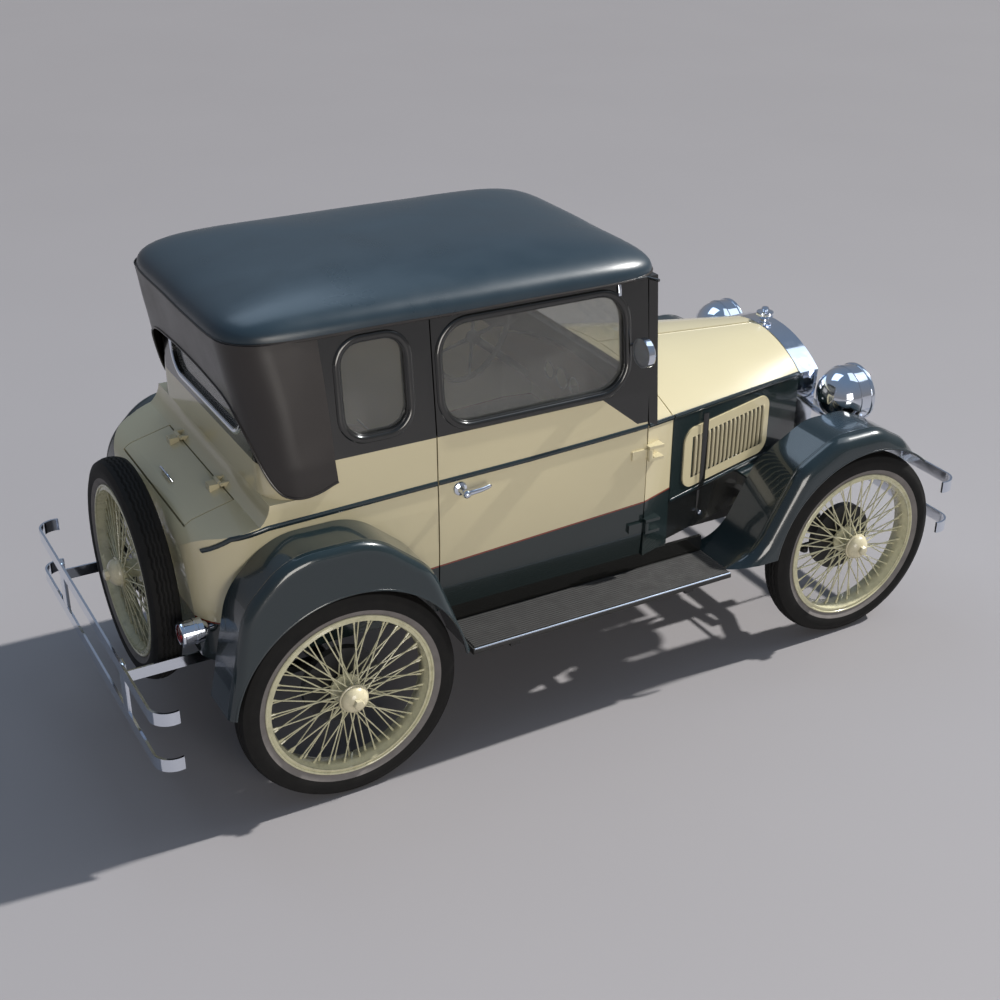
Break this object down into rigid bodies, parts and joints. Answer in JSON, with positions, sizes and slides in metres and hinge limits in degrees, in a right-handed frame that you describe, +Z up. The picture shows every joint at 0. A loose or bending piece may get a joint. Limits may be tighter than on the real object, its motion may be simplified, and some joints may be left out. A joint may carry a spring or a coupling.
{
  "type": "coupe car of the late nineteen-twenties",
  "caption": "Vintage coupe with wire wheels, louvred hood, running boards, covered top, deck lid and rear spare wheel; wheels roll, steer, and doors, hood and lid open.",
  "frame": {"origin": "on the ground, under the middle of the whole car's box", "axes": "+X forward, +Y to the car's left, +Z up"},
  "size_m": [3.6, 1.646, 1.8478],
  "materials": {
    "black_gloss": "gloss",
    "board_rubber": "ribbed",
    "bright_metal": "polished",
    "cap_cream": "gloss",
    "chassis_black": "satin",
    "core": "honeycomb",
    "cream_paint": "gloss",
    "engine_grey": "rough",
    "fender_gloss": "gloss",
    "glass": "clear",
    "lens": "fluted",
    "seat_cloth": "woven",
    "top_leather": "semi-gloss grain",
    "two_tone": "gloss",
    "tyre": "tread and sidewall",
    "wheel_black": "gloss",
    "wheel_cream": "gloss",
    "wood": "varnished"
  },
  "bodies": {
    "chassis": {"frame_rails": "chassis_black", "cross_members": "chassis_black", "engine_block": "engine_grey", "engine_arms": "engine_grey", "front_axle": "chassis_black", "rear_axle": "chassis_black", "leaf_springs": "chassis_black", "floor_pan": "chassis_black", "rear_body": "two_tone", "upper_body": "black_gloss", "roof": "top_leather", "windshield_frame": "black_gloss", "fixed_glass": "glass", "cowl": "two_tone", "radiator_shell": "bright_metal", "radiator_core": "core", "radiator_cap": "bright_metal", "headlight_shells": "bright_metal", "headlight_lenses": "lens", "aprons": "black_gloss", "bumpers": "bright_metal", "tail_lights": "bright_metal", "seat_base": "wood", "seat_cushion": "seat_cloth", "seat_back": "seat_cloth", "dashboard": "wood", "steering_column": "chassis_black", "spare_tyre": "tyre", "spare_wire_wheel": "wheel_cream", "spare_hub_cap": "cap_cream", "rear_fenders": "fender_gloss", "front_fenders": "fender_gloss", "running_boards": "board_rubber"},
    "left_knuckle": {"left_knuckle": "chassis_black"},
    "right_knuckle": {"right_knuckle": "chassis_black"},
    "tie_rod": {"tie_rod": "chassis_black"},
    "steering_wheel": {"steering_wheel": "wheel_black"},
    "deck_lid": {"deck_lid": "cream_paint"},
    "front_left_wheel": {"front_left_tyre": "tyre", "front_left_wire_wheel": "wheel_cream", "front_left_hub_cap": "cap_cream"},
    "front_right_wheel": {"front_right_tyre": "tyre", "front_right_wire_wheel": "wheel_cream", "front_right_hub_cap": "cap_cream"},
    "rear_left_wheel": {"rear_left_tyre": "tyre", "rear_left_wire_wheel": "wheel_cream", "rear_left_hub_cap": "cap_cream"},
    "rear_right_wheel": {"rear_right_tyre": "tyre", "rear_right_wire_wheel": "wheel_cream", "rear_right_hub_cap": "cap_cream"},
    "left_door": {"left_door": "two_tone", "left_door_glass": "glass", "left_door_handle": "bright_metal", "left_mirror": "bright_metal"},
    "left_hood": {"left_hood": "two_tone"},
    "right_door": {"right_door": "two_tone", "right_door_glass": "glass", "right_door_handle": "bright_metal", "right_mirror": "bright_metal"},
    "right_hood": {"right_hood": "two_tone"}
  },
  "joints": [
    {"name": "left_steer", "type": "hinge", "parent": "chassis", "child": "left_knuckle", "pos_m": [1.245, 0.612, 0.421], "axis": [0, 0, 1], "range_deg": [-25, 25]},
    {"name": "right_steer", "type": "hinge", "parent": "chassis", "child": "right_knuckle", "pos_m": [1.245, -0.612, 0.421], "axis": [0, 0, 1], "range_deg": [-25, 25]},
    {"name": "tie_rod_pivot", "type": "hinge", "parent": "left_knuckle", "child": "tie_rod", "pos_m": [1.095, 0.612, 0.372], "axis": [0, 0, 1], "range_deg": [-25, 25]},
    {"name": "steering_wheel_turn", "type": "hinge", "parent": "chassis", "child": "steering_wheel", "pos_m": [-0.04, 0.3, 1.24], "axis": [-0.778, 0, 0.6283], "range_deg": [-300, 300]},
    {"name": "left_door_hinge", "type": "hinge", "parent": "chassis", "child": "left_door", "pos_m": [0.255, 0.613, 0.86], "axis": [0, 0, -1], "range_deg": [0, 65]},
    {"name": "right_door_hinge", "type": "hinge", "parent": "chassis", "child": "right_door", "pos_m": [0.255, -0.613, 0.86], "axis": [0, 0, 1], "range_deg": [0, 65]},
    {"name": "left_hood_hinge", "type": "hinge", "parent": "chassis", "child": "left_hood", "pos_m": [0.395, 0, 1.2365], "axis": [0.9978, 0, -0.0663], "range_deg": [0, 45]},
    {"name": "right_hood_hinge", "type": "hinge", "parent": "chassis", "child": "right_hood", "pos_m": [0.395, 0, 1.2365], "axis": [-0.9978, 0, 0.0663], "range_deg": [0, 45]},
    {"name": "deck_lid_hinge", "type": "hinge", "parent": "chassis", "child": "deck_lid", "pos_m": [-1.336, 0, 1.106], "axis": [0, 1, 0], "range_deg": [0, 70]},
    {"name": "front_left_spin", "type": "hinge", "parent": "left_knuckle", "child": "front_left_wheel", "pos_m": [1.245, 0.711, 0.421], "axis": [0, 1, 0], "continuous": true},
    {"name": "front_right_spin", "type": "hinge", "parent": "right_knuckle", "child": "front_right_wheel", "pos_m": [1.245, -0.711, 0.421], "axis": [0, 1, 0], "continuous": true},
    {"name": "rear_left_spin", "type": "hinge", "parent": "chassis", "child": "rear_left_wheel", "pos_m": [-1.085, 0.711, 0.421], "axis": [0, 1, 0], "continuous": true},
    {"name": "rear_right_spin", "type": "hinge", "parent": "chassis", "child": "rear_right_wheel", "pos_m": [-1.085, -0.711, 0.421], "axis": [0, 1, 0], "continuous": true}
  ],
  "couplings": [
    {"joint": "right_steer", "follows": "left_steer", "ratio": 1},
    {"joint": "tie_rod_pivot", "follows": "left_steer", "ratio": -1},
    {"joint": "steering_wheel_turn", "follows": "left_steer", "ratio": 12}
  ]
}
